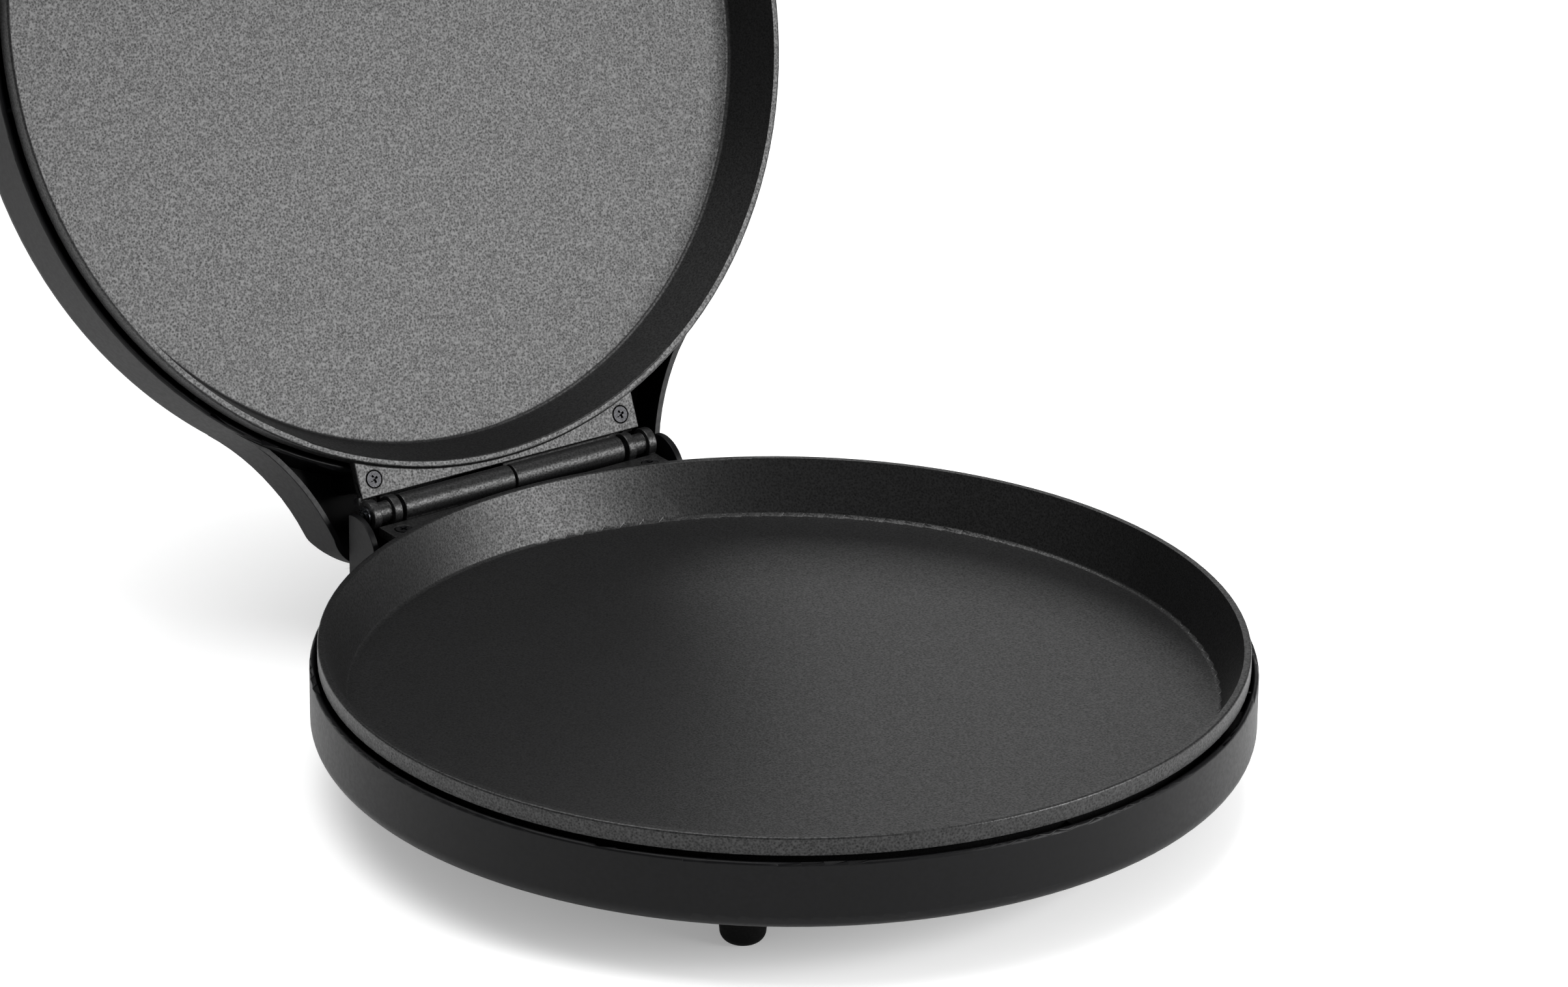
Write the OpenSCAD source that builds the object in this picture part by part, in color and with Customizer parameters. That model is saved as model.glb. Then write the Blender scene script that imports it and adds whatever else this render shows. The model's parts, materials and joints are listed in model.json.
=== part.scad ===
// Round electric pizza maker with two cast baking plates and a lid on a rear hinge.
// Sizes are in millimetres and angles in degrees. The whole stands on z = 0 with its lid open.
// Most modules are drawn about the middle of the parting plane, where the two plates meet:
// the base lies below that plane, and a lid piece is the same shape turned over above it.

/* [Baking plates] */
// Radius of the flat baking floor
floor_r = 145.8; // [136:0.1:158]
// How far the sloping wall runs outwards from the floor to the rim
wall_run = 7.2; // [5:0.1:9]
// Width of the land on top of the rim, and so the thickness of the wall
rim_land = 2.5; // [1.8:0.1:3.5]
// Height of the upright band round the outside of the rim
skirt_h = 6.1; // [5.9:0.1:6.6]
// Depth of the baking floor below the rim
pan_depth = 18.9; // [14:0.1:22]
// Thickness of the cast floor
floor_t = 2.5; // [2:0.1:4]
// Radius of the fillet between floor and wall
floor_fillet = 1.6; // [0.5:0.1:3]
// Gap between the two rims when the lid is shut
rim_gap = 0.4; // [0.2:0.1:1]

/* [Casings] */
// Gap between a plate's rim and the inside of its casing
casing_gap = 0.5; // [0.3:0.1:2]
// Wall of both casings
casing_wall = 2.2; // [1.8:0.1:3]
// Distance from the parting plane to a casing's edge
edge_drop = 7.8; // [7:0.1:9]
// Height of a casing's upright side
side_h = 18.7; // [16:0.1:21]
// Radius that rounds the side into the dished part
edge_round = 5.5; // [4:0.1:9]
// Slope of the dished part
dish_slope = 12; // [9:0.5:16]
// Distance from the parting plane to the flat middle of a casing
casing_depth = 42; // [41:0.1:48]
// Number of small locating ribs inside a casing's edge
rib_count = 8; // [4:1:12]

/* [Hinge] */
// How far the pin lies behind the round of the casings
hinge_out = 4.9; // [4.5:0.1:6]
// Angle by which the lid stands open
open_angle = 112.6; // [108:0.1:116]
// Radius of the long knuckles
barrel_r = 4.9; // [4:0.1:5]
// Radius of the two ribs of a short knuckle
spool_r = 5.3; // [4.5:0.1:5.4]
// Radius of the core between those ribs
core_r = 3.7; // [3:0.1:4]
// Thickness of one of those ribs
spool_rib = 3.4; // [2.5:0.1:4.5]
// Length of a long knuckle
barrel_len = 45.8; // [38:0.1:52]
// Length of a short knuckle
spool_len = 11.9; // [10:0.1:14]
// Gap between neighbouring knuckles of different plates
knuckle_gap = 1.5; // [0.8:0.1:2.5]
// Gap at the seam between the two long knuckles
seam_gap = 0.8; // [0.5:0.1:1.5]
// Radius of the steel hinge pin
pin_r = 1.8; // [1.5:0.1:2.2]
// Running clearance of the pin in the free plate's knuckles
pin_play = 0.06; // [0.02:0.01:0.1]
// Depth of the hinge flange's face below the rim
flange_drop = 2.2; // [1.5:0.1:2.4]
// Thickness of the hinge flange
flange_t = 3.5; // [3:0.1:3.7]
// Gap between the flange and the other plate's knuckle
flange_play = 0.7; // [0.5:0.1:1.5]

/* [Hinge housing] */
// Gap between a short knuckle and the ear beside it
ear_gap = 3.6; // [2.5:0.1:5]
// Thickness of the ears and walls of the base's rear box
box_wall = 2.4; // [2:0.1:3]
// Radius of an ear's round top
ear_r = 12.6; // [11:0.1:13]
// Height of an ear's top above the parting plane
ear_rise = 1.8; // [0.5:0.1:2.5]
// How far the tail of the lid reaches behind the pin
tail_back = 16.9; // [16.5:0.1:20]
// Distance from the parting plane to the tail's edge
tail_edge = 9.5; // [9:0.1:11]
// Height of the tail's side walls
tail_h = 18.2; // [16:0.1:19]
// Radius of the hollow curve that runs from the round lid into its tail
flare_r = 85; // [70:1:100]
// Radius of the tail's rear corners, seen from above
tail_round = 11; // [9:0.1:14]
// Angle by which the tail's end leans forward
tail_lean = 33; // [24:1:38]
// Radius between the tail's end and its roof
tail_edge_round = 4; // [3:0.1:5]
// Gap between the tail's end and the base's rear wall that stops it
stop_gap = 0.3; // [0.2:0.1:1]
// Depth of the rear box's underside below the parting plane
box_depth = 37; // [36:0.1:38]

/* [Feet] */
// Distance of a front foot from the middle
foot_ring = 120; // [105:1:128]
// Angle of a front foot from the middle line
foot_angle = 42.3; // [30:0.1:50]
// Distance of a rear foot from the middle line
rear_foot_x = 53; // [40:1:54]
// Distance of a rear foot in front of the rear wall
rear_foot_inset = 16; // [12:1:22]
// Height of the parting plane above the surface that the feet stand on
stand = 54; // [52:0.5:64]
// Radius of a foot just above its rounded sole
foot_r = 7.6; // [6.8:0.1:9]
// Radius of a foot at its top
foot_top_r = 8.6; // [7.5:0.1:10]
// Radius that rounds a foot's sole
foot_round = 4.2; // [2:0.1:5]
// Radius of a foot's stem
stem_r = 3; // [2:0.1:3.5]

/* [Heating] */
// Radius of the heating tube's ring
heater_ring = 100; // [80:1:108]
// Radius of the heating tube
tube_r = 3.3; // [3:0.1:4]
// Angle left open between the two ends of the ring
heater_open = 36; // [24:1:60]
// Radius of the sheet steel heat shields
shield_r = 117; // [110:1:118]
// Thickness of the shield's sheet
shield_t = 0.8; // [0.5:0.1:1.2]
// Distance of the shield's screws from the middle
shield_screw_ring = 60; // [45:1:75]

/* [Handle] */
// Radius of the handle's grip bar
grip_r = 8; // [6:0.1:10]
// Half the length of the grip bar between its ends
grip_half = 46; // [40:1:60]
// Distance from the round of the lid to the middle of the grip bar
grip_out = 38; // [30:1:50]
// Height of the middle of the grip bar above the parting plane
grip_rise = 30; // [24:1:36]
// Half the distance between the handle's two screws
handle_screw_x = 36; // [28:1:38]

/* [Fittings] */
// Radius of the mains cord that the bushing is made for
cord_r = 3.4; // [3:0.1:4]
// Radius of the indicator lenses
lens_r = 4.2; // [3:0.1:5.5]
// Half the distance between the two lenses
lens_x = 13; // [9:0.5:20]

/* [Hidden] */
$fn = 96;

// Small amount by which a cutting shape passes the face it cuts
cut = 1;
// Gap between a tube, lens or stem and the seat round it
seat = 0.2;

// Plates
plate_top = -rim_gap / 2;
wall_top_r = floor_r + wall_run;
rim_r = wall_top_r + rim_land;
under = -pan_depth - floor_t;
wall_slope = wall_run / pan_depth;
land_round = 0.8;
under_chamfer = 2;
skirt_step = 1;
under_corner_r = outside_r(-under - under_chamfer);
flange_under = plate_top - flange_drop - flange_t;

// Radius of a plate's outside under its band, where it runs along the wall, at a depth below the rim
function outside_r(depth) = rim_r - (depth - land_round) * wall_slope;

// Casings
casing_r = rim_r + casing_gap + casing_wall;
side_low = edge_drop + side_h;
rib_drop = 0.6;
rib_h = 7;
rib_t = 1.2;
rib_r = outside_r(edge_drop + rib_drop) + seat;

// Hinge
hinge_y = casing_r + hinge_out;
flange_y = hinge_y - barrel_r - flange_play;
barrel_end = seam_gap / 2 + barrel_len;
spool_start = barrel_end + knuckle_gap;
spool_end = spool_start + spool_len;
flange_half = spool_end - 1.2;
pin_bore_r = pin_r + pin_play;
clip_t = 0.8;
pin_half = spool_end + clip_t + 0.6;

// Hinge screws
screw_inset = 6;
screw_x = flange_half - screw_inset - 0.4;
screw_y = flange_y - screw_inset;
head_r = 2.8;
head_t = 1.7;
head_play = 0.3;
shank_r = 1.6;
shank_play = 0.15;
hinge_screw_len = 13;
boss_r = 4.2;

// Base's rear box and the lid's tail
box_half = spool_end + ear_gap + box_wall;
tail_half = box_half + 0.4;
flare_x = tail_half + flare_r;
flare_y = sqrt(pow(casing_r + flare_r, 2) - pow(flare_x, 2));
tail_end_y = tail_back * cos(open_angle) + tail_edge * sin(open_angle);
stop_y = hinge_y + tail_end_y - stop_gap;
box_top = -spool_r - 2.4;
ear_y = hinge_y - 1.6;
ear_z = ear_rise - ear_r;
slot_half = 12;
slot_inset = 2;
slot_h = side_h - 6;

// Feet: their pads reach below both the dished part of the casing and the rear box
pad_r = foot_top_r + 0.6;
pad_depth = max(dish_z(foot_ring - pad_r) + 0.2, box_depth + 1.5);
foot_h = stand - pad_depth;
foot_x = foot_ring * sin(foot_angle);
foot_y = foot_ring * cos(foot_angle);
rear_foot_y = stop_y - rear_foot_inset;
barb_r = stem_r + 1;
floor_inside = -box_depth + box_wall;
barb_low = -pad_depth + 5;
barb_h = 2;
stem_hole_h = 10;
barb_room_h = 8;

// Heating
tube_z = under - tube_r - seat;
shield_z = tube_z - tube_r - 0.7;
heater_end_angle = 90 - heater_open / 2;
pin_drop = 4.4;
shield_boss_r = 4.5;
shield_head_r = 3;
shield_head_t = 1.6;
shield_screw_len = 6.8;
front_boss_y = (shield_r + casing_r - edge_round - 4) / 2 - 1.5;
front_boss_z = under - 6;
front_boss_r = 5;

// Handle
grip_y = -(casing_r + grip_out);
saddle_y = -front_boss_y - 2;
handle_head_r = 3.4;
handle_head_t = 2;
handle_screw_len = 9.5;
saddle_z = dish_z(norm([handle_screw_x, saddle_y]));
handle_head_z = saddle_z - casing_wall / cos(dish_slope) - 1.2;
handle_tip_z = handle_head_z + handle_screw_len - handle_head_t;
// Depth to which the pads reach under the lid's face before they are cut to it
saddle_sink = 4;

// Where the whole lies: the middle of its footprint with the lid open is the origin
grip_back_y = (grip_y - hinge_y) * cos(-open_angle) - grip_rise * sin(-open_angle);
back_reach = hinge_y + grip_back_y + grip_r;
pan_y = (casing_r - back_reach) / 2;

// Places a base piece, drawn about the parting plane
module in_base() {
    translate([0, pan_y, stand]) children();
}

// Places a lid piece, drawn shut, where the open lid holds it
module in_lid() {
    translate([0, pan_y + hinge_y, stand])
        rotate([-open_angle, 0, 0])
            translate([0, -hinge_y, 0])
                children();
}

// Turns a piece drawn for the base over, so that it faces down in the lid
module turned_over() {
    rotate([0, 180, 0]) children();
}

// Round rod along X
module rod_x(x0, x1, r) {
    translate([x0, 0, 0]) rotate([0, 90, 0]) cylinder(h = x1 - x0, r = r);
}

// Places a child at both sides of the middle line
module both_sides(x) {
    for (side = [-1, 1]) translate([side * x, 0, 0]) children();
}

// Insulated lead through a list of points, mitred at each bend
lead_sides = 8;
lead_r = 1.3;

function unit(v) = v / norm(v);
function lead_dir(points, i) = unit(points[i + 1] - points[i]);

// Ring of the lead's skin at one of its points, carried along from the ring before it
function lead_ring(points, i) =
    i == 0
    ? let (d = lead_dir(points, 0), a = unit(cross(d, [0.31, 0.47, 0.83])), b = cross(d, a))
      [for (k = [0 : lead_sides - 1])
          points[0] + lead_r * (cos(k * 360 / lead_sides) * a + sin(k * 360 / lead_sides) * b)]
    : let (d = lead_dir(points, i - 1),
           e = i < len(points) - 1 ? lead_dir(points, i) : d,
           n = unit(d + e))
      [for (q = lead_ring(points, i - 1)) q + d * ((points[i] - q) * n) / (d * n)];

module lead(points) {
    n = lead_sides;
    last = len(points) - 1;
    polyhedron(
        points = [for (i = [0 : last]) for (q = lead_ring(points, i)) q],
        faces = concat(
            [[for (k = [0 : n - 1]) k]],
            [[for (k = [0 : n - 1]) last * n + n - 1 - k]],
            [for (i = [0 : last - 1]) for (k = [0 : n - 1])
                [i * n + k, (i + 1) * n + k, (i + 1) * n + (k + 1) % n, i * n + (k + 1) % n]]
        )
    );
}

// Screw with a flat round head at z = 0, a cross recess in it and its shank below
module flat_screw(head, head_depth, shank, length) {
    difference() {
        union() {
            translate([0, 0, -head_depth]) cylinder(h = head_depth, r = head);
            translate([0, 0, -length]) cylinder(h = length - head_depth / 2, r = shank);
        }
        for (turn = [0, 90])
            rotate([0, 0, turn + 20])
                translate([-head * 0.55, -head * 0.15, -head_depth * 0.6])
                    cube([head * 1.1, head * 0.3, head_depth]);
    }
}

// Space above the baking floor, up to and past the rim
module pan_space() {
    corner = floor_fillet;
    // The wall's lean turns the corner by less than a right angle
    lean = atan(wall_slope);
    reach = corner * tan((90 - lean) / 2);
    translate([0, 0, plate_top])
        rotate_extrude($fn = 180)
            difference() {
                polygon([
                    [0, -pan_depth],
                    [floor_r, -pan_depth],
                    [wall_top_r, 0],
                    [wall_top_r, cut],
                    [0, cut]
                ]);
                difference() {
                    polygon([
                        [floor_r - reach, -pan_depth - cut],
                        [floor_r + cut, -pan_depth - cut],
                        [floor_r + reach * sin(lean) + cut, -pan_depth + reach * cos(lean)],
                        [floor_r + reach * sin(lean), -pan_depth + reach * cos(lean)],
                        [floor_r - reach, -pan_depth + corner]
                    ]);
                    translate([floor_r - reach, -pan_depth + corner]) circle(r = corner);
                }
            }
}

// Round part of a cast plate, without the space in it
module pan_body() {
    translate([0, 0, plate_top])
        rotate_extrude($fn = 180)
            union() {
                polygon([
                    [0, under],
                    [under_corner_r - under_chamfer, under],
                    [under_corner_r, under + under_chamfer],
                    [outside_r(skirt_h + skirt_step), -skirt_h - skirt_step],
                    [rim_r, -skirt_h],
                    [rim_r, -land_round],
                    [rim_r - land_round, 0],
                    [0, 0]
                ]);
                translate([rim_r - land_round, -land_round]) circle(r = land_round, $fn = 32);
            }
}

// Hinge flange of a plate with its knuckles, ready for the bores
module hinge_leaf() {
    flange_z = plate_top - flange_drop - flange_t;
    translate([-flange_half, floor_r - 25, flange_z])
        cube([2 * flange_half, flange_y - floor_r + 25, flange_t]);
    // Long knuckle on the left
    translate([0, hinge_y, 0]) rod_x(-barrel_end, -seam_gap / 2, barrel_r);
    translate([-barrel_end, flange_y - cut, flange_z])
        cube([barrel_len, hinge_y - flange_y + cut, flange_t - 0.6]);
    // Short knuckle on the right: two ribs on a thinner core
    translate([0, hinge_y, 0]) {
        rod_x(spool_start, spool_end, core_r);
        rod_x(spool_start, spool_start + spool_rib, spool_r);
        rod_x(spool_end - spool_rib, spool_end, spool_r);
    }
    for (x = [spool_start, spool_end - spool_rib])
        translate([x, flange_y - cut, flange_z])
            cube([spool_rib, hinge_y - flange_y + cut, flange_t - 0.6]);
    // Lip on the left tab, between the ribs of the other plate's short knuckle
    translate([-spool_end + spool_rib + 0.5, flange_y - cut, flange_z])
        cube([spool_len - 2 * spool_rib - 1, cut + 0.9, flange_t - 0.8]);
}

// Cast aluminium plate, drawn as the lower one. The upper one is the same casting turned over.
module plate() {
    difference() {
        union() {
            pan_body();
            hinge_leaf();
            // Ridge that holds the heating tube
            rotate_extrude($fn = 180)
                translate([heater_ring - tube_r - 3, under + plate_top - tube_r * 0.8])
                    square([2 * tube_r + 6, tube_r * 0.8 + cut]);
            shield_bosses(under + plate_top + cut, shield_z, shield_boss_r);
            translate([0, -front_boss_y, front_boss_z])
                cylinder(h = under - front_boss_z + cut, r = front_boss_r);
        }
        pan_space();
        // Groove of the heating tube
        translate([0, 0, tube_z]) heater_ring_solid(tube_r + seat, 360);
        // Bore of the hinge pin
        translate([0, hinge_y, 0]) rod_x(-spool_end - cut, spool_end + cut, pin_bore_r);
        // Seats of the hinge screws
        both_sides(screw_x)
            translate([0, screw_y, plate_top - flange_drop]) {
                translate([0, 0, -flange_t - cut]) cylinder(h = flange_t + 2 * cut, r = shank_r + 0.4);
                translate([0, 0, -head_t]) cylinder(h = head_t + cut, r = head_r + head_play);
            }
        // Holes of the shield screws and the front screw
        shield_bosses(shield_z + 6, shield_z - cut, shank_r + shank_play);
        translate([0, -front_boss_y, front_boss_z - cut]) cylinder(h = 6 + cut, r = shank_r + shank_play);
    }
}

// Three round posts on the ring of the shield's screws, from z1 up to z0
module shield_bosses(z0, z1, r) {
    for (i = [0 : 2])
        rotate([0, 0, 30 + i * 120])
            translate([shield_screw_ring, 0, z1])
                cylinder(h = z0 - z1, r = r);
}

// Heating tube's ring, or the groove for it
module heater_ring_solid(r, angle) {
    rotate([0, 0, 90 + (360 - angle) / 2])
        rotate_extrude(angle = angle, $fn = 180)
            translate([heater_ring, 0])
                circle(r = r, $fn = 48);
}

// Tubular heater: an open ring, with a terminal pin at each end that turns down
module element() {
    translate([0, 0, tube_z]) {
        heater_ring_solid(tube_r, 360 - heater_open);
        for (side = [-1, 1])
            rotate([0, 0, 90 + side * heater_open / 2])
                translate([heater_ring, 0, 0]) {
                    sphere(r = tube_r, $fn = 48);
                    translate([0, 0, -tube_r - pin_drop]) cylinder(h = tube_r + pin_drop, r = 1.6);
                }
    }
}

// Sheet steel shield that keeps the heat in the plate
module heat_shield() {
    difference() {
        union() {
            translate([0, 0, shield_z - shield_t]) cylinder(h = shield_t, r = shield_r, $fn = 180);
            // Upturned edge
            translate([0, 0, shield_z - shield_t])
                difference() {
                    cylinder(h = 4, r = shield_r, $fn = 180);
                    translate([0, 0, -cut]) cylinder(h = 4 + 2 * cut, r = shield_r - shield_t, $fn = 180);
                }
        }
        // Room for the thermostat or fuse, the terminal pins and the screws
        translate([0, 0, shield_z - shield_t - cut]) cylinder(h = shield_t + 2 * cut, r = 17);
        for (side = [-1, 1])
            rotate([0, 0, 90 + side * heater_open / 2])
                translate([heater_ring, 0, shield_z - shield_t - cut])
                    cylinder(h = shield_t + 2 * cut, r = 5);
        shield_bosses(shield_z + cut, shield_z - shield_t - cut, shank_r + 0.4);
    }
}

// Three screws that hold a shield
module shield_screws() {
    for (i = [0 : 2])
        rotate([0, 0, 30 + i * 120])
            translate([shield_screw_ring, 0, shield_z - shield_t])
                rotate([180, 0, 0])
                    translate([0, 0, shield_head_t])
                        flat_screw(shield_head_r, shield_head_t, shank_r, shield_screw_len);
}

// Filled outline of a round casing, drawn inwards by a wall
module casing_outline(wall) {
    centre_r = casing_r - edge_round;
    r = edge_round - wall;
    dish_top = side_low + r * cos(dish_slope);
    dish_r = centre_r + r * sin(dish_slope) - (casing_depth - wall - dish_top) / tan(dish_slope);
    union() {
        polygon([
            [0, -edge_drop],
            [casing_r - wall, -edge_drop],
            [casing_r - wall, -side_low],
            [centre_r, -side_low],
            [centre_r + r * sin(dish_slope), -dish_top],
            [dish_r, -casing_depth + wall],
            [0, -casing_depth + wall]
        ]);
        translate([centre_r, -side_low]) circle(r = r, $fn = 48);
    }
}

// Solid with the outer form of a round casing, drawn inwards by a wall
module casing_solid(wall) {
    rotate_extrude($fn = 180) casing_outline(wall);
}

// Round casing, open at its edge, with a rounded edge and small locating ribs
module round_casing() {
    rotate_extrude($fn = 180) {
        difference() {
            casing_outline(0);
            casing_outline(casing_wall);
            translate([0, -edge_drop - casing_wall / 2]) square([casing_r + cut, casing_wall / 2 + cut]);
            translate([0, -edge_drop - cut]) square([casing_r - casing_wall, 2 * cut]);
        }
        translate([casing_r - casing_wall / 2, -edge_drop - casing_wall / 2])
            circle(r = casing_wall / 2, $fn = 32);
    }
    for (i = [0 : rib_count - 1])
        rotate([0, 0, 270 + i * 360 / rib_count])
            translate([rib_r, -rib_t / 2, -edge_drop - rib_drop - rib_h])
                cube([casing_r - casing_wall / 2 - rib_r, rib_t, rib_h]);
}

// Front post that takes the screw from outside, and the hole through it
module front_post() {
    intersection() {
        translate([0, -front_boss_y, -casing_depth]) cylinder(h = casing_depth + front_boss_z, r = 6.4);
        casing_solid(0.05);
    }
}
module front_post_hole() {
    translate([0, -front_boss_y, -casing_depth - cut]) {
        cylinder(h = casing_depth + front_boss_z + 2 * cut, r = shank_r + 0.4);
        cylinder(h = casing_depth + front_boss_z - 3 + cut, r = 4.4);
    }
}

// Screw through the front post, its head on the post's inner ledge
module front_screw() {
    translate([0, -front_boss_y, front_boss_z - 3])
        rotate([180, 0, 0])
            translate([0, 0, 2.2])
                flat_screw(3.8, 2.2, shank_r, 9.6);
}

// Post under the hinge flange for one of its screws
module hinge_posts(low) {
    both_sides(screw_x)
        translate([0, screw_y, low]) cylinder(h = flange_under - low, r = boss_r);
}
module hinge_post_holes() {
    both_sides(screw_x)
        translate([0, screw_y, flange_under - hinge_screw_len])
            cylinder(h = hinge_screw_len + cut, r = shank_r + shank_play);
}

// The two cross-head screws that show on a hinge flange
module hinge_screws() {
    both_sides(screw_x)
        translate([0, screw_y, plate_top - flange_drop])
            flat_screw(head_r, head_t, shank_r, hinge_screw_len);
}

// Ear beside the hinge: a wall of the rear box with a round top
module ear() {
    intersection() {
        union() {
            translate([0, ear_y, ear_z]) rod_x(-box_wall / 2, box_wall / 2, ear_r);
            translate([-box_wall / 2, casing_r * 0.8, -box_depth])
                cube([box_wall, stop_y - casing_r * 0.8, box_depth + ear_z]);
        }
        translate([-box_wall, 0, -box_depth]) cube([2 * box_wall, stop_y, box_depth + ear_rise + cut]);
    }
}

// Rear box of the base, open at the top: floor, rear wall and the two walls with ears
module rear_box() {
    front = casing_r * 0.8;
    difference() {
        union() {
            translate([-box_half, front, -box_depth]) cube([2 * box_half, stop_y - front, box_wall]);
            translate([-box_half, stop_y - box_wall, -box_depth])
                cube([2 * box_half, box_wall, box_depth + box_top]);
            both_sides(box_half - box_wall / 2) ear();
        }
        casing_solid(casing_wall / 2);
    }
}

module foot_pads() {
    for (place = foot_places())
        translate([place[0], place[1], -pad_depth]) cylinder(h = pad_depth + floor_inside + 1.5, r = pad_r);
}

// Where the four feet stand: front left, front right, rear left, rear right
function foot_places() = [
    [-foot_x, -foot_y], [foot_x, -foot_y], [-rear_foot_x, rear_foot_y], [rear_foot_x, rear_foot_y]
];

module base_casing() {
    color("#1d1d1e")
        in_base()
            difference() {
                union() {
                    difference() {
                        round_casing();
                        // Way for the leads, through the round wall behind the plate
                        translate([-slot_half, rib_r - cut, -side_low + slot_inset])
                            cube([2 * slot_half, casing_r - rib_r + 2 * cut, slot_h]);
                        // Room for the inner end of the cord bushing
                        translate([bush_x - bush_room, stop_y - bore_len, bush_z - bush_room])
                            cube([2 * bush_room, bore_len, 2 * bush_room]);
                    }
                    difference() {
                        rear_box();
                        cord_bore(bush_room);
                    }
                    hinge_posts(-side_low);
                    front_post();
                    foot_pads();
                }
                front_post_hole();
                hinge_post_holes();
                // Stems of the feet, with room for their barbs
                for (place = foot_places())
                    translate([place[0], place[1], -pad_depth - cut]) {
                        cylinder(h = stem_hole_h, r = stem_r + seat);
                        translate([0, 0, barb_low + pad_depth + cut])
                            cylinder(h = barb_room_h, r = barb_r + 0.5);
                    }
            }
}

// Cord bushing: a nylon sleeve in the rear wall, low enough to clear the open lid
bush_x = -36;
bush_z = -28;
bush_r = cord_r + 2.2;
bush_collar_r = bush_r + 1.2;
bush_room = bush_r + seat;
bush_in = 15;
bush_collar_t = 3;
bore_len = 40;

module cord_bore(r) {
    translate([bush_x, stop_y + bush_collar_t + cut, bush_z])
        rotate([90, 0, 0])
            cylinder(h = bore_len + bush_collar_t + cut, r = r);
}

module cord_bushing() {
    color("#202022")
        in_base()
            difference() {
                union() {
                    translate([bush_x, stop_y, bush_z])
                        rotate([90, 0, 0])
                            cylinder(h = bush_in, r = bush_r);
                    translate([bush_x, stop_y + bush_collar_t, bush_z])
                        rotate([90, 0, 0])
                            cylinder(h = bush_collar_t, r = bush_collar_r);
                }
                cord_bore(cord_r + 0.1);
            }
}

module lower_plate() {
    color("#2b2b2c") in_base() plate();
}

module lower_element() {
    color("#6f6a64") in_base() element();
}

module lower_heat_shield() {
    color("#b9bbbd") in_base() heat_shield();
}

module lower_shield_screws() {
    color("#9a9c9f") in_base() shield_screws();
}

module lower_hinge_screws() {
    color("#2e2f31") in_base() hinge_screws();
}

module base_screw() {
    color("#8b8d90") in_base() front_screw();
}

// Rubber foot with a rounded sole, and a barbed stem pressed through the casing's floor
module foot(place) {
    color("#0e0e0f")
        in_base()
            translate([place[0], place[1], -stand])
                rotate_extrude() {
                    polygon([
                        [0, 0],
                        [foot_r - foot_round, 0],
                        [foot_r, foot_round],
                        [foot_top_r, foot_h],
                        [stem_r, foot_h],
                        [stem_r, stand + barb_low],
                        [barb_r, stand + barb_low],
                        [stem_r - 0.6, stand + barb_low + barb_h],
                        [0, stand + barb_low + barb_h]
                    ]);
                    intersection() {
                        translate([foot_r - foot_round, foot_round]) circle(r = foot_round, $fn = 48);
                        translate([foot_r - foot_round, 0]) square(foot_round);
                    }
                }
}

module foot_front_left() {
    foot(foot_places()[0]);
}

module foot_front_right() {
    foot(foot_places()[1]);
}

module foot_rear_left() {
    foot(foot_places()[2]);
}

module foot_rear_right() {
    foot(foot_places()[3]);
}

module hinge_pin() {
    color("#55575a")
        in_base()
            translate([0, hinge_y, 0])
                rod_x(-pin_half, pin_half, pin_r);
}

// Push-on clips that keep the pin in its knuckles
module pin_clips() {
    color("#3b3c3e")
        in_base()
            translate([0, hinge_y, 0])
                for (side = [-1, 1])
                    difference() {
                        translate([side * (spool_end + 0.1 + clip_t / 2), 0, 0])
                            rod_x(-clip_t / 2, clip_t / 2, pin_r + 1.6);
                        rod_x(-pin_half - cut, pin_half + cut, pin_r + 0.02);
                    }
}

// Terminal block on the base's floor, where the mains cord ends
block_y = 86;
block_half = 17;
block_back = block_y + 7;
block_z = -casing_depth + casing_wall;

module terminal_block() {
    color("#d8d6ce")
        in_base()
            difference() {
                translate([-block_half, 2 * block_y - block_back, block_z])
                    cube([2 * block_half, 2 * (block_back - block_y), 8]);
                for (i = [-1 : 1])
                    translate([i * 10.5, block_y, block_z + 4]) cylinder(h = 5, r = 2.2);
            }
}

// Thermal fuse against the lower plate
fuse_r = 2.2;
fuse_z = under + plate_top - fuse_r - seat;

module thermal_fuse() {
    color("#c9b47a")
        in_base()
            translate([0, 0, fuse_z]) {
                rod_x(-7, 7, fuse_r);
                rod_x(-12, 12, 0.6);
            }
}

// Strap over the fuse, its two feet flat on the plate
module fuse_clamp() {
    color("#b4b6b8")
        in_base()
            translate([-2.5, 0, 0])
                difference() {
                    translate([0, -3.4, fuse_z - fuse_r - 1])
                        cube([5, 6.8, 2 * fuse_r + 1 + seat]);
                    translate([-cut, -2.5, fuse_z - fuse_r - 0.2])
                        cube([5 + 2 * cut, 5, 2 * fuse_r + 2]);
                }
    color("#b4b6b8")
        in_base()
            for (side = [-1, 1])
                translate([-2.5, side * 6.4 - 3.1, under + plate_top - 0.8])
                    cube([5, 6.2, 0.8]);
}

// Ends of the heater, where its terminal pins are
heater_x = heater_ring * cos(heater_end_angle);
heater_y = heater_ring * sin(heater_end_angle);
pin_end = -tube_z + tube_r + pin_drop;
// Distance from the middle line at which two leads cross the hinge
lead_x = 6;

// Height midway between the shield's outer face and the dished part's inside, at a radius
function behind_shield(r) = (shield_t - shield_z + dish_z(r) - casing_wall / cos(dish_slope)) / 2;

// Way of a lead from the hinge's slot, round the plate's edge, to the room behind the shield
function hinge_way(x, side) = [
    [x, casing_r + 0.5, side * (side_low - 5.5)],
    [x, casing_r - 5.2, side * (side_low - 4.5)],
    [x, casing_r - 13.2, side * (side_low + 1)],
    [x, shield_r, side * behind_shield(shield_r)]
];

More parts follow.
